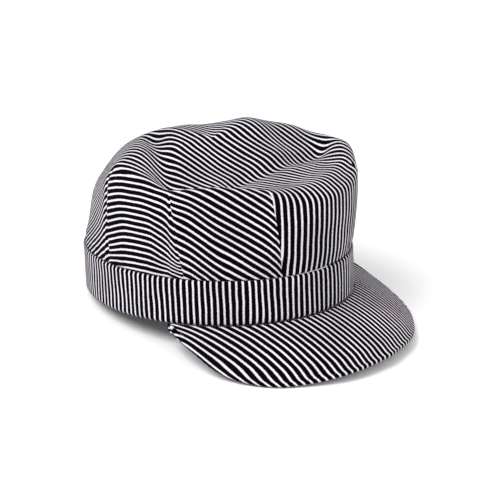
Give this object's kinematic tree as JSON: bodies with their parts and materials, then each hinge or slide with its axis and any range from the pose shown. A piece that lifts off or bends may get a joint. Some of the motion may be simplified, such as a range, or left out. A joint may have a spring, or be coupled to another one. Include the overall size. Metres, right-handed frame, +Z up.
{
  "type": "railroad engineer cap",
  "caption": "Soft striped cloth cap with an eight-dart crown on an upright band and a short curved visor, lying on its hem and visor.",
  "frame": {"origin": "middle of the footprint, on the surface that the cap lies on", "axes": "+Z up, the front with the visor faces -Y, the wearer's right is -X"},
  "size_m": [0.1908, 0.253, 0.1251],
  "materials": {
    "striped_cloth": "matt twill woven in narrow near-black and white stripes"
  },
  "bodies": {
    "root": {"crown": "striped_cloth", "band": "striped_cloth", "visor_upper_cover": "striped_cloth", "visor_under_cover": "striped_cloth"}
  },
  "joints": []
}
